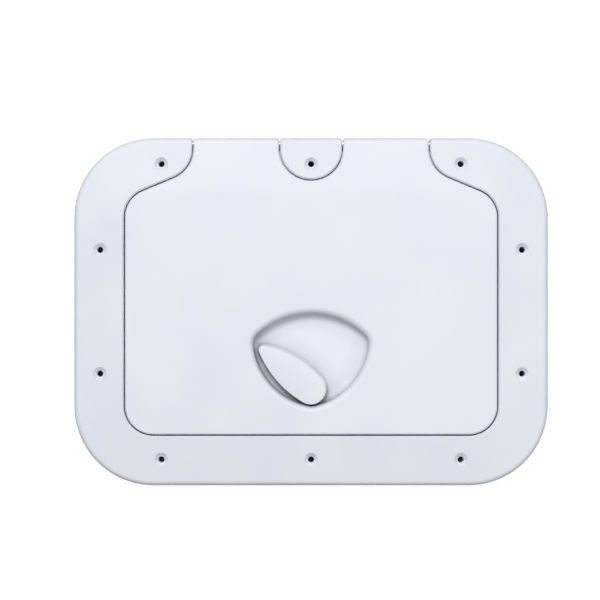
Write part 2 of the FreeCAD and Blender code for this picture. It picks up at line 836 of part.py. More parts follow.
def make_dish(body):
    """The latch dish: a shell under the plate, hollowed from above, with the spindle's boss below it.

    The rim and the foot of its wall are well rounded, so that fingers slide in below the lever.
    """
    rim = s.crown_height - s.lid_lip_chamfer - MERGE
    shell = new_sketch(body, "dish_shell_outline", lift=rim)
    draw(shell, dish_outline(s.dish_wall))
    pad(body, "dish_shell", shell, rim - dish_underside, down=True, draft=-s.dish_draft)
    boss = new_sketch(body, "spindle_boss_circle", lift=boss_bottom)
    draw_circle(boss, MIDDLE, pivot_y, s.spindle_boss)
    pad(body, "spindle_boss", boss, s.boss_drop + MERGE)

    dish = new_sketch(body, "dish_outline", lift=s.crown_height)
    draw(dish, dish_outline(MIDDLE))
    pocket(body, "dish", dish, s.crown_height - s.dish_floor_height, draft=-s.dish_draft)
    rounded(body, "dish_floor_rounding", s.dish_floor_rounding, at_level(s.dish_floor_height))
    rounded(body, "dish_rim_rounding", s.dish_rim_rounding,
            above_outline(dish, s.crown_height - MERGE, s.crown_height + MERGE))
    bore = new_sketch(body, "spindle_bore_circle", lift=s.dish_floor_height + MERGE)
    draw_circle(bore, MIDDLE, pivot_y, s.spindle_radius + s.spindle_clearance)
    pocket(body, "spindle_bore", bore)


# The seal and the hinge pins

def make_seal():
    body = new_body("lid_seal")
    bottom = s.coaming_height + s.seal_lift
    outline = new_sketch(body, "seal_outline", lift=bottom)
    draw_ring(outline, seal_centre + s.seal_width / 2)
    draw_ring(outline, seal_centre - s.seal_width / 2)
    pad(body, "seal", outline, lid_underside - bottom)
    chamfered(body, "seal_chamfer", s.seal_chamfer, at_level(bottom))
    return body


def make_pin(name, start):
    """A hinge pin, from its place along the hinge to the right."""
    body = new_body(name)
    circle = new_sketch(body, "pin_circle", "YZ_Plane")
    draw_circle(circle, MIDDLE, MIDDLE, s.pin_diameter / 2)
    pad(body, "pin", circle, s.pin_length)
    body.setExpression("Placement.Base.x", formula_of(start))
    body.setExpression("Placement.Base.y", formula_of(hinge_y))
    body.setExpression("Placement.Base.z", formula_of(hinge_z))
    return body


def make_pins():
    inner = s.tab_radius - s.lug_thickness - s.pin_tail
    outer = s.tab_pitch - inner
    return [
        make_pin("hinge_pin_outer_left", -outer),
        make_pin("hinge_pin_inner_left", -inner - s.pin_length),
        make_pin("hinge_pin_inner_right", inner),
        make_pin("hinge_pin_outer_right", outer - s.pin_length),
    ]


# The turn lever and what is on its spindle, each modelled about the spindle and turned to its place at rest

def on_spindle(body, angle):
    turn = FreeCAD.Rotation(FreeCAD.Vector(0, 0, 1), float(angle))
    body.Placement = FreeCAD.Placement(FreeCAD.Vector(), turn)
    body.setExpression("Placement.Rotation.Angle", formula_of(angle))
    body.setExpression("Placement.Base.y", formula_of(pivot_y))
    return body


def leaf_outline(shrink):
    """The lever seen from above: a round hub, a small round tip, and a long arc down each side."""
    hub, tip, side = s.lever_hub - shrink, s.lever_tip - shrink, s.lever_side_radius - shrink
    reach = (float(s.lever_reach), 0.0)
    centre = meet((0.0, 0.0), float(side - hub), reach, float(side - tip), -1)
    at_tip, at_hub = heading(centre, reach), heading(centre, (0.0, 0.0))
    return [
        arc(s.lever_reach, MIDDLE, tip, -at_tip, at_tip),
        arc(centre[0], centre[1], side, at_tip, at_hub),
        arc(MIDDLE, MIDDLE, hub, at_hub, 360 - at_hub),
        arc(centre[0], -centre[1], side, -at_hub, -at_tip),
    ]


def make_lever():
    body = new_body("turn_lever")
    top = s.crown_height - s.lever_sink
    underside = top - s.leaf_thickness
    ceiling = top - s.lever_top_skin
    hub_bottom = s.dish_floor_height + s.lever_float
    leaf = new_sketch(body, "leaf_outline", lift=underside)
    draw(leaf, leaf_outline(MIDDLE))
    pad(body, "leaf", leaf, s.leaf_thickness)
    chamfered(body, "leaf_chamfer", s.lever_chamfer, at_level(top))

    hollow = new_sketch(body, "leaf_hollow_outline", lift=underside)
    draw(hollow, leaf_outline(s.lever_wall))
    pocket(body, "leaf_hollow", hollow, ceiling - underside, up=True)

    hub = new_sketch(body, "hub_circle", lift=hub_bottom)
    draw_circle(hub, MIDDLE, MIDDLE, s.hub_radius)
    pad(body, "hub", hub, ceiling + MERGE - hub_bottom)
    spindle = new_sketch(body, "spindle_circle", lift=spindle_shoulder)
    draw_circle(spindle, MIDDLE, MIDDLE, s.spindle_radius)
    pad(body, "spindle", spindle, hub_bottom + MERGE - spindle_shoulder)
    groove_bottom = s.spindle_radius + s.spindle_clearance - s.ring_thickness - s.ring_clearance * 2
    groove = new_sketch(body, "ring_groove_section", "XZ_Plane")
    low, high = -s.ring_depth - s.ring_groove_width / 2, -s.ring_depth + s.ring_groove_width / 2
    draw_box(groove, groove_bottom, s.spindle_radius + MERGE, low, high)
    feature, volume = cut_away(body, "PartDesign::Groove", "ring_groove", groove)
    feature.ReferenceAxis = (groove, ["V_Axis"])
    feature.Angle = 360
    checked_cut(feature, volume)

    square = new_sketch(body, "square_outline", lift=cam_bottom + s.face_clearance)
    draw_polygon(square, 4, s.square_side / math.sqrt(2), 45.0)
    pad(body, "square", square, s.cam_thickness - s.face_clearance + MERGE)
    screw_hole = new_sketch(body, "thread_circle", lift=cam_bottom)
    draw_circle(screw_hole, MIDDLE, MIDDLE, s.screw_radius)
    pocket(body, "thread_hole", screw_hole, s.screw_thread_length + s.thread_end_clearance, up=True)
    return on_spindle(body, s.lever_rest_angle)


def make_washer(name, bottom, thickness, radius, hole):
    """A flat ring about the spindle, such as a washer or the square-cut sealing ring."""
    body = new_body(name)
    circles = new_sketch(body, "washer_circles", lift=bottom)
    draw_circle(circles, MIDDLE, MIDDLE, radius)
    draw_circle(circles, MIDDLE, MIDDLE, hole)
    pad(body, "washer", circles, thickness)
    return on_spindle(body, s.lever_rest_angle)


def make_cam():
    """The cam below the lid: a hub on the spindle's square, and an arm with a ramped nose."""
    body = new_body("latch_cam")
    arm = s.cam_length - s.cam_nose
    touch = math.degrees(math.acos(float(s.cam_hub - s.cam_nose) / float(arm)))
    outline = new_sketch(body, "cam_outline", lift=cam_bottom)
    draw(outline, [
        arc(arm, MIDDLE, s.cam_nose, -touch, touch),
        arc(MIDDLE, MIDDLE, s.cam_hub, touch, 360 - touch),
    ])
    pad(body, "cam", outline, s.cam_thickness)
    reach = float(s.cam_hub)

    def on_arm(edge):
        return at_level(spindle_shoulder)(edge) and samples(edge)[1].x > reach

    chamfered(body, "cam_ramp", s.cam_ramp, on_arm)
    square = new_sketch(body, "square_hole_outline", lift=spindle_shoulder + MERGE)
    half_diagonal = (s.square_side / 2 + s.square_clearance) * math.sqrt(2)
    draw_polygon(square, 4, half_diagonal, s.lever_rest_angle - s.cam_rest_angle + 45.0)
    pocket(body, "square_hole", square)
    return on_spindle(body, s.cam_rest_angle)


def make_screw():
    body = new_body("cam_screw")
    head = new_sketch(body, "head_circle", lift=washer_bottom)
    draw_circle(head, MIDDLE, MIDDLE, s.screw_head_radius)
    pad(body, "head", head, s.screw_head_height, down=True)
    chamfered(body, "head_chamfer", s.screw_head_height / 4, at_level(washer_bottom - s.screw_head_height))
    shank = new_sketch(body, "shank_circle", lift=washer_bottom - MERGE)
    draw_circle(shank, MIDDLE, MIDDLE, s.screw_radius)
    pad(body, "shank", shank, s.washer_thickness + s.screw_thread_length + MERGE)
    socket = new_sketch(body, "socket_outline", lift=washer_bottom - s.screw_head_height - MERGE)
    draw_polygon(socket, 6, s.screw_socket / math.sqrt(3), 0.0)
    pocket(body, "socket", socket, s.screw_socket_depth + MERGE, up=True)
    return on_spindle(body, s.lever_rest_angle)


def make_parts():
    thrust_bottom = spindle_shoulder + s.face_clearance
    spindle_hole = s.spindle_radius + s.spindle_clearance
    screw_hole = s.screw_radius + s.washer_clearance
    ring_bottom = -s.ring_depth - s.ring_thickness / 2
    ring_outside = spindle_hole - s.ring_clearance
    ring_inside = ring_outside - s.ring_thickness
    return [
        make_frame(),
        make_lid(),
        make_seal(),
        *make_pins(),
        make_lever(),
        make_washer("lever_seal_ring", ring_bottom, s.ring_thickness, ring_outside, ring_inside),
        make_washer("thrust_washer", thrust_bottom, s.thrust_thickness, s.thrust_radius, spindle_hole),
        make_cam(),
        make_washer("cam_washer", washer_bottom, s.washer_thickness, s.washer_radius, screw_hole),
        make_screw(),
    ]


def export(bodies):
    document.recompute()
    for thing in document.Objects:
        if "Invalid" in thing.State or "Error" in thing.State:
            raise RuntimeError(f"{thing.Label} did not recompute")
    for body in bodies:
        if body.Shape.isNull() or not body.Shape.isValid() or len(body.Shape.Solids) != 1:
            raise RuntimeError(f"{body.Label} is not one valid solid")
    os.makedirs("parts", exist_ok=True)
    for body in bodies:
        body.Shape.exportStep(f"parts/{body.Label}.step")
        print(body.Label, round(body.Shape.Volume), body.Shape.BoundBox)


export(make_parts())
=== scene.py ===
# %% [markdown]
# # A deck access hatch, dressed for its picture
#
# The hatch is one white moulded frame with a flush lid, hinged between three round tabs at the rear
# and held by a turn latch in a finger dish at the front. The solids come from the CAD model, already
# in metres and in place. This lesson gives them their finishes, makes the pieces that need a softer
# shape than a solid has, and sets up the plain studio that the picture was taken in.

# %% Load the hatch and note its size
import math

import bmesh
import bpy
import numpy as np
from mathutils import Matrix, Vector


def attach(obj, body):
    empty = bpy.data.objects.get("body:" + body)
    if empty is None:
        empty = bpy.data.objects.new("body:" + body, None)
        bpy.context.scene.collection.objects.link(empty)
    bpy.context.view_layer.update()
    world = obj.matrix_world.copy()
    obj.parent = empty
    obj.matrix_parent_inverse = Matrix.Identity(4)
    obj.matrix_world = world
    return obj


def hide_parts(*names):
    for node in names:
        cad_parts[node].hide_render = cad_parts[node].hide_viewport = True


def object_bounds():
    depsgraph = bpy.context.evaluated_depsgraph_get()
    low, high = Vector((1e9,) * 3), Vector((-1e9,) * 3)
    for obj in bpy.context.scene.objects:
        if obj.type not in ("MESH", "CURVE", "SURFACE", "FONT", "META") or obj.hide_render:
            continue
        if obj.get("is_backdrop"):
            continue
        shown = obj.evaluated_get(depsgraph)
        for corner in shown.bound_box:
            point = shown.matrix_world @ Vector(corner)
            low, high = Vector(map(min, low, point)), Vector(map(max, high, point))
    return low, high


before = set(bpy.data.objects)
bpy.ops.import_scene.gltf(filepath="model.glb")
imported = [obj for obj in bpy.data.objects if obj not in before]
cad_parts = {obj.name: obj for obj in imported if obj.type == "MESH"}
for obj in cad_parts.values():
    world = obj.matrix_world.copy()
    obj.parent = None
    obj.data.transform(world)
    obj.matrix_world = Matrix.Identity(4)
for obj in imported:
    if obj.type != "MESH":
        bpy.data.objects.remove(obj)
cad_box = [list(corner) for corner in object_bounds()]
box_low, box_high = (np.array(corner) for corner in cad_box)
print("the CAD box, in metres:", box_low.round(4), "to", box_high.round(4))

# %% [markdown]
# ## The camera
#
# The picture looks straight down on the deck with a long lens, so that the flange shows its true
# outline and no side of it. The hatch's width on the photograph gives how many pixels one metre
# takes, and the middle of the hatch says how far the camera stands to the left of it and behind it.

# %% Stand the camera over the hatch
PICTURE_SIDE = 600
HATCH_PIXELS = 475.3
HATCH_MIDDLE = (311.1, 311.8)
LENS = 100.0
SENSOR = 36.0

pixel = (box_high[0] - box_low[0]) / HATCH_PIXELS
distance = pixel * PICTURE_SIDE * LENS / SENSOR
camera_data = bpy.data.cameras.new("studio_camera")
camera_data.lens = LENS
camera_data.sensor_width = SENSOR
camera = bpy.data.objects.new("studio_camera", camera_data)
bpy.context.scene.collection.objects.link(camera)
camera_x = (PICTURE_SIDE / 2 - HATCH_MIDDLE[0]) * pixel
camera_y = (HATCH_MIDDLE[1] - PICTURE_SIDE / 2) * pixel
camera.location = (camera_x, camera_y, box_high[2] + distance)
bpy.context.scene.camera = camera
print("one pixel is", round(pixel * 1000, 3), "mm, and the camera is", round(distance, 3), "m above the lid")

# %% [markdown]
# ## The lamps
#
# A product this pale is photographed under very soft light, because a hard lamp would burn out its
# top and draw black lines along its steps. A large softbox hangs behind the hatch and a little to its
# left: walls that face it come out bright, and the dish's rear wall, which turns away from it, is
# shaded. A second one hangs overhead on the right and fills the shadows. Their levels are plain: with
# the faint light of the room, they light a level surface so that a colour comes out about as written.

# %% Hang the softboxes
SOFTBOX_SIDE = 1.5
REAR_PLACE = (-0.50, 1.90, 3.30)
REAR_POWER = 93.0
OVERHEAD_PLACE = (0.7, 0.0, 2.4)
OVERHEAD_POWER = 15.5
HATCH_PLACE = (0.0, 0.0, 0.0)


def softbox(name, place, power):
    """A square lamp with its middle at a place in metres, turned towards the hatch."""
    lamp_data = bpy.data.lights.new(name, "AREA")
    lamp_data.shape = "SQUARE"
    lamp_data.size = SOFTBOX_SIDE
    lamp_data.energy = power
    lamp = bpy.data.objects.new(name, lamp_data)
    lamp.location = place
    towards = np.array(HATCH_PLACE) - np.array(place)
    lamp.rotation_euler = Vector(towards).to_track_quat("-Z", "Y").to_euler()
    bpy.context.scene.collection.objects.link(lamp)
    print(name, "gives", power, "W from", round(float(np.linalg.norm(towards)), 2), "m away")


softbox("rear_softbox", REAR_PLACE, REAR_POWER)
softbox("overhead_softbox", OVERHEAD_PLACE, OVERHEAD_POWER)

# %% [markdown]
# ## The room
#
# The room has two jobs. It sends a faint, slightly blue light on the hatch from all sides, and it is
# the white that the camera sees behind it. One level can't do both, because a white room would light
# the hatch far too much. So a Light Path node tells the rays apart: the rays that show the background,
# straight or by way of a gloss or a glass, get pure white, and all others get the faint light.

# %% Fill the room with faint light
WHITE = (1.0, 1.0, 1.0, 1.0)
FILL_COLOUR = (0.93, 0.96, 1.0, 1.0)
FILL_STRENGTH = 0.20


def new_nodes(owner):
    """Empties an owner's node tree and gives two helpers: one adds a node, the other joins sockets."""
    owner.use_nodes = True
    tree = owner.node_tree
    tree.nodes.clear()

    def add(kind, **settings):
        node = tree.nodes.new(kind)
        for key, value in settings.items():
            setattr(node, key, value)
        return node

    return add, tree.links.new


def seen_rays(add, join):
    """One for the rays that show the background: straight, mirrored or refracted to the camera."""
    path = add("ShaderNodeLightPath")
    straight_or_mirrored = add("ShaderNodeMath", operation="MAXIMUM")
    join(path.outputs["Is Camera Ray"], straight_or_mirrored.inputs[0])
    join(path.outputs["Is Glossy Ray"], straight_or_mirrored.inputs[1])
    any_seen = add("ShaderNodeMath", operation="MAXIMUM")
    join(straight_or_mirrored.outputs[0], any_seen.inputs[0])
    join(path.outputs["Is Transmission Ray"], any_seen.inputs[1])
    return any_seen.outputs[0]


room = bpy.data.worlds.new("studio")
bpy.context.scene.world = room
add, join = new_nodes(room)
fill = add("ShaderNodeBackground")
fill.inputs["Color"].default_value = FILL_COLOUR
fill.inputs["Strength"].default_value = FILL_STRENGTH
backdrop = add("ShaderNodeBackground")
backdrop.inputs["Color"].default_value = WHITE
backdrop.inputs["Strength"].default_value = 1.0
choice = add("ShaderNodeMixShader")
join(seen_rays(add, join), choice.inputs[0])
join(fill.outputs[0], choice.inputs[1])
join(backdrop.outputs[0], choice.inputs[2])
join(choice.outputs[0], add("ShaderNodeOutputWorld").inputs["Surface"])
print("the room lights the hatch at", FILL_STRENGTH, "and is white to the camera")

# %% [markdown]
# ## The sheet of paper
#
# The hatch stands on its collar on a sheet of white paper. Like the room, the paper glows for the
# camera alone, which makes the background pure white, and its own colour is a grey that gives back
# little light. If all of it glowed, the screw holes and the gaps beside the tabs would be bright, but
# in the picture they are dark, because what the hatch covers gets no light. So an Ambient Occlusion
# node measures how open each point of the paper is, and glow and grey both fade where it is covered.
# Under the hatch a point counts as open only where almost nothing is near it, and beside the hatch
# far sooner, which keeps the white clean right up to the flange.

# %% Lay the paper
FLOOR_REACH = 4.0
floor_z = float(box_low[2])
square = ((-1, -1), (1, -1), (1, 1), (-1, 1))
floor_corners = [(x * FLOOR_REACH, y * FLOOR_REACH, floor_z) for x, y in square]
floor_mesh = bpy.data.meshes.new("studio_floor")
floor_mesh.from_pydata(floor_corners, [], [(0, 1, 2, 3)])
floor = bpy.data.objects.new("studio_floor", floor_mesh)
bpy.context.scene.collection.objects.link(floor)
floor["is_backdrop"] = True
print("the paper is at", round(floor_z, 4), "m")

# %% Find out what the hatch covers
OUTLINE_CORNER = 0.062
OUTLINE_MARGIN = 0.0015
OPENNESS_REACH = 0.05
OPENNESS_SAMPLES = 16
COVERED = 0.34
OPEN_BESIDE = 0.64
OPEN_BELOW = 0.85
COVER_CURVE = 2.2


# Painted shadow: below the hatch's outline the paper needs more openness to count as open, so it is darker
# there.
def below_hatch(add, join):
    """One where the paper lies below the hatch's outline, a rounded rectangle, and zero elsewhere.

    All four quarters are folded onto one. From the middle of its round corner, the way out to the place
    is measured, where a way back in counts as nothing: on the outline it is the corner's radius long.
    """
    corner_middle = (box_high[0] - OUTLINE_CORNER, box_high[1] - OUTLINE_CORNER, 0.0)
    socket = add("ShaderNodeTexCoord").outputs["Object"]
    for operation, constant in (
        ("MULTIPLY", (1.0, 1.0, 0.0)),
        ("ABSOLUTE", None),
        ("SUBTRACT", corner_middle),
        ("MAXIMUM", (0.0, 0.0, 0.0)),
    ):
        step = add("ShaderNodeVectorMath", operation=operation)
        join(socket, step.inputs[0])
        if constant is not None:
            step.inputs[1].default_value = constant
        socket = step.outputs["Vector"]
    way_out = add("ShaderNodeVectorMath", operation="LENGTH")
    join(socket, way_out.inputs[0])
    inside = add("ShaderNodeMath", operation="LESS_THAN")
    inside.inputs[1].default_value = OUTLINE_CORNER - OUTLINE_MARGIN
    join(way_out.outputs["Value"], inside.inputs[0])
    return inside.outputs[0]


def uncovered(add, join):
    """Zero where the paper is covered and one where it is open. A power darkens what lies between."""
    openness = add("ShaderNodeAmbientOcclusion", samples=OPENNESS_SAMPLES)
    openness.inputs["Distance"].default_value = OPENNESS_REACH
    openness.inputs["Color"].default_value = WHITE
    open_level = add("ShaderNodeMath", operation="MULTIPLY_ADD")
    open_level.inputs[1].default_value = OPEN_BELOW - OPEN_BESIDE
    open_level.inputs[2].default_value = OPEN_BESIDE
    join(below_hatch(add, join), open_level.inputs[0])
    spread = add("ShaderNodeMapRange")
    spread.inputs["From Min"].default_value = COVERED
    join(openness.outputs["AO"], spread.inputs["Value"])
    join(open_level.outputs[0], spread.inputs["From Max"])
    curved = add("ShaderNodeMath", operation="POWER")
    curved.inputs[1].default_value = COVER_CURVE
    join(spread.outputs["Result"], curved.inputs[0])
    return curved.outputs[0]


print("paper counts as open from an openness of", OPEN_BESIDE, "beside the hatch and", OPEN_BELOW, "below it")

# %% Mix the paper
PAPER_GREY = 0.12
PAPER_WHITE = 1.075


def share_of(add, join, amount, whole):
    """An amount from zero to one as a share of a whole."""
    product = add("ShaderNodeMath", operation="MULTIPLY")
    product.inputs[1].default_value = whole
    join(amount, product.inputs[0])
    return product.outputs[0]


paper = bpy.data.materials.new("white_paper")
add, join = new_nodes(paper)
# Painted shadow: the paper's grey and its glow are both darkened where the hatch covers it.
open_share = uncovered(add, join)
sheet = add("ShaderNodeBsdfDiffuse")
join(share_of(add, join, open_share, PAPER_GREY), sheet.inputs["Color"])
glow = add("ShaderNodeEmission")
join(share_of(add, join, open_share, PAPER_WHITE - PAPER_GREY), glow.inputs["Color"])
join(seen_rays(add, join), glow.inputs["Strength"])
sheet_and_glow = add("ShaderNodeAddShader")
join(sheet.outputs[0], sheet_and_glow.inputs[0])
join(glow.outputs[0], sheet_and_glow.inputs[1])
join(sheet_and_glow.outputs[0], add("ShaderNodeOutputMaterial").inputs["Surface"])
floor_mesh.materials.append(paper)
print("open paper gives back", PAPER_GREY, "of the light, and shines up to", PAPER_WHITE, "for the camera")

# %% [markdown]
# ## Patches and grain
#
# The frame, the lid and the lever are moulded in the same white, slightly blue plastic. Up close such
# a surface is never one flat colour: the melt leaves faint broad patches, and the steel of the mould
# leaves a fine grain that softens the gloss. Both come from noise that is measured in metres on the
# object itself, so the grain has its real size on every piece. Rubber, nylon and steel are mixed in
# the same way, with patches and grains of their own.

# %% Make colour and noise easy to write
NOISE_LOW = 0.3
NOISE_HIGH = 0.7


def linear(red, green, blue):
    """A colour as a screen shows it, 0 to 255, turned into the linear amounts that a shader adds up."""
    shares = np.array([red, green, blue]) / 255.0
    straight = np.where(shares <= 0.04045, shares / 12.92, ((shares + 0.055) / 1.055) ** 2.4)
    return (*straight, 1.0)


def noise(add, join, place, size, detail):
    """Noise whose patches are about a given size in metres."""
    pattern = add("ShaderNodeTexNoise")
    pattern.inputs["Scale"].default_value = 1.0 / size
    pattern.inputs["Detail"].default_value = detail
    join(place, pattern.inputs["Vector"])
    return pattern.outputs["Fac"]


def between(add, join, amount, low, high):
    """Noise, nearly all of which is between two known amounts, carried over to a range."""
    scaled = add("ShaderNodeMapRange")
    scaled.inputs["From Min"].default_value = NOISE_LOW
    scaled.inputs["From Max"].default_value = NOISE_HIGH
    scaled.inputs["To Min"].default_value = low
    scaled.inputs["To Max"].default_value = high
    join(amount, scaled.inputs["Value"])
    return scaled.outputs["Result"]


print("a screen's mid grey of 128 is", round(float(linear(128, 128, 128)[0]), 3), "in linear light")

# %% [markdown]
# ## Painted shade in the corners
#
# The dish is the one deep hollow of the lid, and its colour is darkened where the wall meets the floor
# and round the lever's foot: painted shade, deeper than the lamps give there. An Ambient Occlusion
# node finds such closed-in places on any shape, so nothing has to be painted by hand. On the lid it
# works only in the dish: elsewhere it would draw a line along every edge of a clean white moulding.

# %% Paint shade into the closed-in corners
PAINTED_SHADE_SAMPLES = 6
PAINTED_SHADE_EDGE = 0.9


def shade_painted_colour(add, join, place, colour, reach, keep, middle=None, extent=None):
    """Painted shade: a colour that keeps only a share of itself where the surface is closed in, as in a
    corner.

    What stands nearer than the reach closes a place in. Where a middle and an extent are given, only what
    is that near to the middle is darkened, with a soft edge.
    """
    openness = add("ShaderNodeAmbientOcclusion", samples=PAINTED_SHADE_SAMPLES)
    openness.inputs["Distance"].default_value = reach
    openness.inputs["Color"].default_value = WHITE
    kept_share = add("ShaderNodeMapRange")
    kept_share.inputs["To Min"].default_value = keep
    kept_share.inputs["To Max"].default_value = 1.0
    join(openness.outputs["AO"], kept_share.inputs["Value"])
    dimmed = add("ShaderNodeMix", data_type="RGBA", blend_type="MULTIPLY")
    dimmed.inputs[0].default_value = 1.0
    if middle is not None:
        apart = add("ShaderNodeVectorMath", operation="DISTANCE")
        apart.inputs[1].default_value = middle
        join(place, apart.inputs[0])
        near = add("ShaderNodeMapRange")
        near.inputs["From Min"].default_value = extent
        near.inputs["From Max"].default_value = extent * PAINTED_SHADE_EDGE
        join(apart.outputs["Value"], near.inputs["Value"])
        join(near.outputs["Result"], dimmed.inputs[0])
    join(colour, dimmed.inputs[6])
    join(kept_share.outputs["Result"], dimmed.inputs[7])
    return dimmed.outputs[2]


# Painted shade: these rays find how closed in a point is, and its colour is darkened there.
print("each point of a shade_darkened surface sends", PAINTED_SHADE_SAMPLES, "rays to find out how closed in it is")

# %% [markdown]
# ## One recipe for all finishes
#
# Every finish on the hatch is the same recipe with other amounts, so one function mixes them all. An
# image could be wrapped round each piece instead, but it would have to be unfolded for that and would
# blur up close, while noise on the piece's own coordinates is as fine as it needs to be. The grain
# does two things at once: it varies the roughness, and by way of a Bump node it dents the surface.

# %% Mix a finish
PATCH_DETAIL = 2.0
GRAIN_DETAIL = 3.0


def finish(name, colours, patch, grain, roughness, dent, stretch=None, painted_shade=None, metallic=0.0):
    """A solid finish: broad patches between two colours, and a fine grain that roughens and dents it.

    Patch, grain and dent are the patches' and the grain's size and the grain's depth, in metres, and
    roughness is a range. Stretch scales the pattern along x, y and z. The painted shade holds what
    shade_painted_colour needs.
    """
    material = bpy.data.materials.new(name)
    add, join = new_nodes(material)
    place = add("ShaderNodeTexCoord").outputs["Object"]
    if stretch is not None:
        mapping = add("ShaderNodeMapping")
        mapping.inputs["Scale"].default_value = stretch
        join(place, mapping.inputs["Vector"])
        place = mapping.outputs["Vector"]
    shader = add("ShaderNodeBsdfPrincipled")
    shader.inputs["Metallic"].default_value = metallic
    patches = add("ShaderNodeMix", data_type="RGBA")
    patches.inputs[6].default_value = linear(*colours[0])
    patches.inputs[7].default_value = linear(*colours[1])
    broad = noise(add, join, place, patch, PATCH_DETAIL)
    join(between(add, join, broad, 0.0, 1.0), patches.inputs[0])
    colour = patches.outputs[2]
    # Painted shade: the colour is darkened where the surface is closed in.
    if painted_shade is not None:
        colour = shade_painted_colour(add, join, place, colour, **painted_shade)
    join(colour, shader.inputs["Base Color"])
    fine = noise(add, join, place, grain, GRAIN_DETAIL)
    join(between(add, join, fine, *roughness), shader.inputs["Roughness"])
    dents = add("ShaderNodeBump")
    dents.inputs["Strength"].default_value = 1.0
    dents.inputs["Distance"].default_value = dent
    join(fine, dents.inputs["Height"])
    join(dents.outputs["Normal"], shader.inputs["Normal"])
    join(shader.outputs["BSDF"], add("ShaderNodeOutputMaterial").inputs["Surface"])
    print(name, "goes from", colours[0], "to", colours[1], "and its grain is", round(grain * 1000, 2), "mm")
    return material


# %% [markdown]
# ## The white mouldings
#
# Frame, lid and lever come out of three moulds, so their whites differ by a shade, and the lever is a
# little glossier than the others. Shade is painted into the colour in the lid's dish and round the
# lever's foot, where they are closed in. The frame gets none.

# %% Mix the white plastics
MOULDING_PATCH = 0.06
LEVER_PATCH = 0.04
MOULDING_GRAIN = 0.0006
MOULDING_DENT = 0.000006
# Painted shade in the lid's dish and all round the lever: their colour is darkened where they are closed in.
DISH_PAINTED_SHADE = {"reach": 0.016, "keep": 0.40, "middle": (0.0, -0.038, 0.006), "extent": 0.057}
LEVER_PAINTED_SHADE = {"reach": 0.014, "keep": 0.35}

frame_plastic = finish(
    "frame_plastic", ((226, 229, 237), (230, 234, 241)),
    MOULDING_PATCH, MOULDING_GRAIN, (0.46, 0.56), MOULDING_DENT,
)
lid_plastic = finish(
    "lid_plastic", ((228, 232, 240), (232, 236, 243)),
    MOULDING_PATCH, MOULDING_GRAIN, (0.44, 0.54), MOULDING_DENT, painted_shade=DISH_PAINTED_SHADE,
)
lever_plastic = finish(
    "lever_plastic", ((227, 231, 240), (232, 235, 242)),
    LEVER_PATCH, MOULDING_GRAIN, (0.38, 0.48), MOULDING_DENT, painted_shade=LEVER_PAINTED_SHADE,
)

# %% [markdown]
# ## What works below the lid
#
# The hinge pins, the cam's washer and its screw are bright stainless steel. A pin is drawn through a
# die, which leaves long marks, so the pattern is stretched along the pins, and the two others share
# the finish. The seal is matt black sponge rubber, and the spindle's ring a denser and smoother one.
# The thrust washer is natural nylon, which is cream, and the cam is black plastic.

# %% Mix the steel, the rubbers, the nylon and the black plastic
DRAWN_ALONG = (0.1, 1.0, 1.0)

steel = finish(
    "steel", ((150, 150, 148), (190, 190, 188)),
    0.002, 0.0004, (0.25, 0.40), 0.000004, stretch=DRAWN_ALONG, metallic=1.0,
)
seal_rubber = finish("seal_rubber", ((38, 38, 40), (52, 52, 54)), 0.01, 0.0008, (0.62, 0.78), 0.00002)
ring_rubber = finish("ring_rubber", ((18, 18, 19), (30, 30, 31)), 0.004, 0.0005, (0.5, 0.65), 0.00001)
nylon = finish("nylon", ((214, 209, 194), (224, 219, 206)), 0.006, 0.0005, (0.42, 0.55), 0.000008)
cam_plastic = finish("cam_plastic", ((34, 34, 36), (46, 46, 48)), 0.01, 0.0006, (0.42, 0.55), 0.00001)

# %% [markdown]
# ## A surface from a grid of points
#
# The three pieces that follow are softer than their solids: the lever, the lid's seal and the screw of
# the cam. Each is worked out as rows of points, one row for each step along its profile, and each row
# goes once round the piece. A helper joins the rows into faces, closes the ends where a row has shrunk
# to a line or a point, and turns every face outwards.

# %% Turn rows of points into a piece
MERGE_DISTANCE = 1e-6
SHARP_ANGLE = 38.0


def row_faces(grid, start):
    """The four-sided faces between the rows of a grid whose first point has the number start."""
    rows, columns, _ = grid.shape
    number = start + np.arange(rows * columns).reshape(rows, columns)
    beside = np.roll(number, -1, axis=1)
    return np.stack([number[:-1], beside[:-1], beside[1:], number[1:]], axis=-1).reshape(-1, 4)


def piece_from_rows(name, grids, material, body, node):
    """One piece from grids of rows x columns x 3 points, in metres. Every row is closed on itself."""
    points = []
    faces = []
    count = 0
    for grid in grids:
        points.append(grid.reshape(-1, 3))
        faces.append(row_faces(grid, count))
        count += len(points[-1])
    mesh = bpy.data.meshes.new(name)
    mesh.from_pydata(np.concatenate(points), [], np.concatenate(faces).tolist())
    shape = bmesh.new()
    shape.from_mesh(mesh)
    bmesh.ops.remove_doubles(shape, verts=shape.verts, dist=MERGE_DISTANCE)
    bmesh.ops.recalc_face_normals(shape, faces=shape.faces)
    shape.to_mesh(mesh)
    shape.free()
    mesh.shade_smooth()
    mesh.set_sharp_from_angle(angle=math.radians(SHARP_ANGLE))
    mesh.materials.append(material)
    piece = bpy.data.objects.new(name, mesh)
    bpy.context.scene.collection.objects.link(piece)
    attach(piece, body)
    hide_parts(node)
    corners = np.array(piece.bound_box)
    low, high = corners.min(0), corners.max(0)
    print(name, "has", len(mesh.polygons), "faces, from", low.round(4), "to", high.round(4))


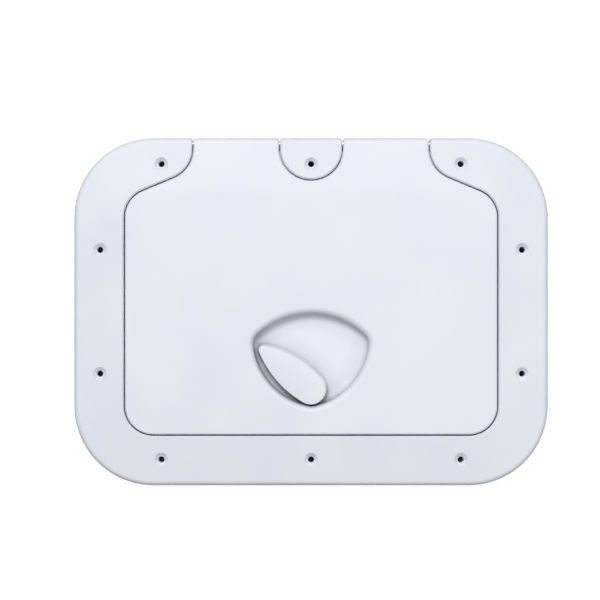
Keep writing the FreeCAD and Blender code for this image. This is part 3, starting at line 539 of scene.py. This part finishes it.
# %% [markdown]
# ## The turn lever
#
# The lever is a leaf: a round hub over the spindle, a small round tip, and a long slack arc down each
# side. It could be cut out as a flat plate with a chamfer, but a moulded lever has a slightly crowned
# top and sides that lean in towards it, which lets it leave the mould. They lean most towards the tip
# and on the side that faces the hinge, and that slope is the soft grey line round it in the picture.
# So the leaf is worked out from the directions in which its edge faces. A line drawn inwards from any
# point of the edge meets the spine, which joins the middles of hub and tip. Walking in along these
# lines by an inset gives each row of the sides, the top and the underside.
#
# Four sizes draw the outline: the radii of the hub, of the tip and of the long sides, and the reach
# from the hub's middle to the tip's. A side's arc goes round the outside of hub and tip and touches
# both, so its middle lies its own radius less theirs away from their middles. That gives how far this
# middle is along the spine and how far beyond it, on the other side.

# %% Walk round the leaf
HUB = 0.0133
TIP = 0.005
REACH = 0.0486
SIDE = 0.083
EDGE_STEPS = 48
ROUNDING_ERROR = 1e-9

along = ((SIDE - HUB) ** 2 - (SIDE - TIP) ** 2 + REACH ** 2) / (2 * REACH)
beyond = math.sqrt((SIDE - HUB) ** 2 - along ** 2)
tip_turn = math.atan2(beyond, REACH - along)
hub_turn = math.atan2(beyond, -along)
stops = [-tip_turn, tip_turn, hub_turn, 2 * math.pi - hub_turn, 2 * math.pi - tip_turn]
facing = np.concatenate([
    np.linspace(begin, end, EDGE_STEPS, endpoint=False) for begin, end in zip(stops[:-1], stops[1:])
])
turned_by = np.abs(np.arctan2(np.sin(facing), np.cos(facing)))
on_tip = turned_by <= tip_turn + ROUNDING_ERROR
on_hub = turned_by >= hub_turn - ROUNDING_ERROR
spine = np.where(on_tip, REACH, np.where(on_hub, 0.0, along + beyond / np.tan(turned_by)))
width = np.where(on_tip, TIP, np.where(on_hub, HUB, SIDE - beyond / np.sin(turned_by)))
print("the leaf's hub is", round(2000 * HUB, 1), "mm across, and the leaf",
      round(1000 * (REACH + TIP + HUB), 1), "mm long")

# %% [markdown]
# ## From the leaf's outline to its body
#
# Each row of the leaf needs five numbers: how much of the slope it is in by, an inset that is the same
# all round, how far it has shrunk towards the spine, its height, and its share of the crown. The rows
# start on the spine, run out over the crowned top, down the leaning side, round the foot, and in below
# the hollow leaf to its ceiling. A real lever is hollow like this because thick plastic sinks as it
# cools. A block with the hollow cut out would do too, but the rows keep the wall even all round. The
# whole leaf sits a hair to one side of the spindle's line, as in the picture.

# %% Raise the leaf
LEAF_TOP = 0.0118
CROWN = 0.0005
LEAF_UNDERSIDE = 0.0043
LEAF_CEILING = 0.0090
LEAF_SHIFT = 0.0004
BEVEL = 0.0017
BEVEL_LEAN = 0.0006
BEVEL_DRAW = 0.0005
BEVEL_CURVE = 1.5
FOOT_ROUNDING = 0.0006
LEAF_WALL = 0.0026
TOP_STEPS = 13
SIDE_STEPS = 17
FOOT_STEPS = 5

rim_top = LEAF_TOP - CROWN
foot_top = LEAF_UNDERSIDE + FOOT_ROUNDING
top_rows = [
    (1.0, 0.0, share, rim_top, CROWN * (1 - (1 - share) ** 2))
    for share in np.linspace(1.0, 0.0, TOP_STEPS)
]
side_rows = [
    (1 - share, 0.0, 0.0, rim_top - (rim_top - foot_top) * share ** BEVEL_CURVE, 0.0)
    for share in np.linspace(0.0, 1.0, SIDE_STEPS)
]
foot_rows = [
    (0.0, FOOT_ROUNDING * (1 - math.cos(turn)), 0.0, foot_top - FOOT_ROUNDING * math.sin(turn), 0.0)
    for turn in np.linspace(0.0, math.pi / 2, FOOT_STEPS)
]
hollow_rows = [
    (0.0, LEAF_WALL, 0.0, LEAF_UNDERSIDE, 0.0),
    (0.0, LEAF_WALL, 0.0, LEAF_CEILING, 0.0),
    (0.0, LEAF_WALL, 0.5, LEAF_CEILING, 0.0),
    (0.0, LEAF_WALL, 1.0, LEAF_CEILING, 0.0),
]
profile = np.array(top_rows + side_rows + foot_rows + hollow_rows)
slope_share, inset, shrunk, height, crown = (column[:, None] for column in profile.T)
bevel = BEVEL - BEVEL_LEAN * np.sin(facing) + BEVEL_DRAW * np.cos(facing)
half = (width - inset - slope_share * bevel) * (1 - shrunk)
leaf = np.stack([
    spine + half * np.cos(facing),
    half * np.sin(facing) + LEAF_SHIFT,
    height + crown * width / HUB,
], axis=-1)
print("the leaf has", len(profile), "rows, and its sides lean in by",
      round(1000 * bevel.min(), 1), "to", round(1000 * bevel.max(), 1), "mm")

# %% [markdown]
# ## The lever's spindle
#
# Below the leaf the same moulding goes on as a spindle: a core that fills the hub, a round bearing with
# a groove for its ring, and a square end for the cam with a screw hole in it. Cylinders could be put
# together for it, but all of it lies round one line, so one list of radii and heights is enough. Its
# rows are circles about the pivot, and at the square end they only change their shape.

# %% Turn the spindle and make the lever
PIVOT = (0.0, -0.0603)
REST_ANGLE = math.radians(140.5)
CORE_RADIUS = 0.0095
CORE_TOP = LEAF_CEILING + 0.0003
CORE_FOOT = 0.0006
CORE_CHAMFER = 0.0004
BEARING_RADIUS = 0.0060
GROOVE_RADIUS = 0.00454
GROOVE_TOP = -0.0034
GROOVE_END = -0.0056
SHOULDER = -0.009
SQUARE_HALF = 0.0040
SPINDLE_END = -0.01295
THREAD_RADIUS = 0.0020
THREAD_TOP = -0.002
TURNED_COLUMNS = 72


def turned_rows(rows):
    """A solid of revolution: rows of a radius, a height and a shape, which is round, square or hexagon.

    The radius of a square or a hexagon is that of the circle inside it, which touches its flat sides.
    """
    angle = np.linspace(0.0, 2 * math.pi, TURNED_COLUMNS, endpoint=False)
    shapes = {
        "round": np.ones(TURNED_COLUMNS),
        "square": 1.0 / np.maximum(np.abs(np.cos(angle)), np.abs(np.sin(angle))),
        "hexagon": 1.0 / np.cos(np.mod(angle, math.pi / 3) - math.pi / 6),
    }
    radius = np.stack([size * shapes[kind] for size, _, kind in rows])
    level = np.array([row[1] for row in rows])[:, None] + 0 * radius
    return np.stack([radius * np.cos(angle), radius * np.sin(angle), level], axis=-1)


def about_pivot(grid, angle):
    """Turns a grid about the spindle's line, and carries it from the origin to the pivot."""
    x = grid[..., 0] * math.cos(angle) - grid[..., 1] * math.sin(angle) + PIVOT[0]
    y = grid[..., 0] * math.sin(angle) + grid[..., 1] * math.cos(angle) + PIVOT[1]
    return np.stack([x, y, grid[..., 2]], axis=-1)


spindle = turned_rows([
    (0.0, CORE_TOP, "round"),
    (CORE_RADIUS, CORE_TOP, "round"),
    (CORE_RADIUS, CORE_FOOT + CORE_CHAMFER, "round"),
    (CORE_RADIUS - CORE_CHAMFER, CORE_FOOT, "round"),
    (BEARING_RADIUS, CORE_FOOT, "round"),
    (BEARING_RADIUS, GROOVE_TOP, "round"),
    (GROOVE_RADIUS, GROOVE_TOP, "round"),
    (GROOVE_RADIUS, GROOVE_END, "round"),
    (BEARING_RADIUS, GROOVE_END, "round"),
    (BEARING_RADIUS, SHOULDER, "round"),
    (SQUARE_HALF, SHOULDER, "square"),
    (SQUARE_HALF, SPINDLE_END, "square"),
    (THREAD_RADIUS, SPINDLE_END, "round"),
    (THREAD_RADIUS, THREAD_TOP, "round"),
    (0.0, THREAD_TOP, "round"),
])
lever_grids = [about_pivot(grid, REST_ANGLE) for grid in (leaf, spindle)]
piece_from_rows("lever_leaf", lever_grids, lever_plastic, "lever", "turn_lever")

# %% [markdown]
# ## The lid's seal
#
# The seal is a length of black sponge rubber, glued into the channel under the lid. A square strip
# would need a great force to close on, so a real one is a bulb on a flat foot, and the bulb gives when
# the frame's coaming presses into it. Its section is carried round the lid's rounded rectangle. Every
# column of points belongs to one direction: the corner's middle, plus a radius along that direction.

# %% Carry the bulb round the lid
CORNER_MIDDLE = (0.1246, 0.0746)
SEAL_RADIUS = 0.01325
SEAL_TOP = 0.009
SEAL_FOOT = 0.0078
FOOT_HALF_WIDTH = 0.003
BULB_HEIGHT = 0.0063
BULB_HALF_WIDTH = 0.00275
BULB_DEPTH = 0.0015
NECK_ANGLE = 40.0
BULB_STEPS = 25
CORNER_STEPS = 16

swing = np.radians(np.linspace(NECK_ANGLE, -180.0 - NECK_ANGLE, BULB_STEPS))
bulb = np.stack([BULB_HALF_WIDTH * np.cos(swing), BULB_HEIGHT + BULB_DEPTH * np.sin(swing)], axis=-1)
foot = np.array([
    (-FOOT_HALF_WIDTH, SEAL_FOOT),
    (-FOOT_HALF_WIDTH, SEAL_TOP),
    (FOOT_HALF_WIDTH, SEAL_TOP),
    (FOOT_HALF_WIDTH, SEAL_FOOT),
])
section = np.concatenate([bulb, foot, bulb[:1]])
one_corner = np.linspace(0, math.pi / 2, CORNER_STEPS)
turns = np.concatenate([one_corner + math.pi / 2 * number for number in range(4)])
corner_x = CORNER_MIDDLE[0] * np.repeat([1, -1, -1, 1], CORNER_STEPS)
corner_y = CORNER_MIDDLE[1] * np.repeat([1, 1, -1, -1], CORNER_STEPS)
from_middle = SEAL_RADIUS + section[:, :1]
seal_rows = np.stack([
    corner_x + from_middle * np.cos(turns),
    corner_y + from_middle * np.sin(turns),
    section[:, 1:] + 0 * from_middle * turns,
], axis=-1)
piece_from_rows("seal_bulb", [seal_rows], seal_rubber, "lid", "lid_seal")

# %% [markdown]
# ## The cam's screw
#
# One stainless screw holds the cam on the spindle. It shows only from below: a low domed head with a
# hexagon socket. It could be a cylinder with the socket cut out, but rows that are turned as the
# spindle's are give the dome as well, and the socket's rows only take the shape of a hexagon.

# %% Turn the screw
SCREW_TIP = -0.003
SCREW_CHAMFER = 0.0004
HEAD_TOP = -0.014
HEAD_RIM = -0.0152
HEAD_END = -0.0164
HEAD_RADIUS = 0.0038
HEAD_CHAMFER = 0.0002
DOME_DRAW = 0.0010
SOCKET_HALF = 0.0015
SOCKET_CHAMFER = 0.0001
SOCKET_FLOOR = -0.015
DOME_STEPS = 9

shank = [
    (0.0, SCREW_TIP, "round"),
    (THREAD_RADIUS - SCREW_CHAMFER, SCREW_TIP, "round"),
    (THREAD_RADIUS, SCREW_TIP - SCREW_CHAMFER, "round"),
    (THREAD_RADIUS, HEAD_TOP, "round"),
    (HEAD_RADIUS - HEAD_CHAMFER, HEAD_TOP, "round"),
    (HEAD_RADIUS, HEAD_TOP - HEAD_CHAMFER, "round"),
]
dome = [
    (
        HEAD_RADIUS - DOME_DRAW * (1 - math.cos(turn)),
        HEAD_RIM + (HEAD_END - HEAD_RIM) * math.sin(turn),
        "round",
    )
    for turn in np.linspace(0.0, math.pi / 2, DOME_STEPS)
]
socket = [
    (SOCKET_HALF + SOCKET_CHAMFER, HEAD_END, "hexagon"),
    (SOCKET_HALF, HEAD_END + SOCKET_CHAMFER, "hexagon"),
    (SOCKET_HALF, SOCKET_FLOOR, "hexagon"),
    (0.0, SOCKET_FLOOR, "round"),
]
screw = about_pivot(turned_rows(shank + dome + socket), 0.0)
piece_from_rows("cam_screw_head", [screw], steel, "lever", "cam_screw")

# %% [markdown]
# ## The finishes of the carried-over solids
#
# The other solids already have the right shape, so they keep it and get their real finish. The four
# hinge pins aren't listed one by one: what has no finish of its own in the list is steel.

# %% Give each solid its finish
FINISHES = {
    "frame": frame_plastic,
    "lid": lid_plastic,
    "lid_seal": seal_rubber,
    "turn_lever": lever_plastic,
    "lever_seal_ring": ring_rubber,
    "thrust_washer": nylon,
    "latch_cam": cam_plastic,
}
for name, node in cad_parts.items():
    material = FINISHES.get(name, steel)
    node.data.materials.clear()
    node.data.materials.append(material)
    print(name, "gets", material.name)

# %% [markdown]
# ## The size, once more
#
# New pieces mustn't make the hatch bigger than it is. The box round everything is therefore written
# down beside the box of the bare solids, and the two should agree. Colours are left as they were
# mixed, because the Standard view shows them without a film's curve.

# %% Write down the sizes and finish
bpy.context.scene.view_settings.view_transform = "Standard"
dressed_box = [list(corner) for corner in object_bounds()]
dressed_low, dressed_high = (np.array(corner) for corner in dressed_box)
print("the dressed box, in metres:", dressed_low.round(4), "to", dressed_high.round(4))
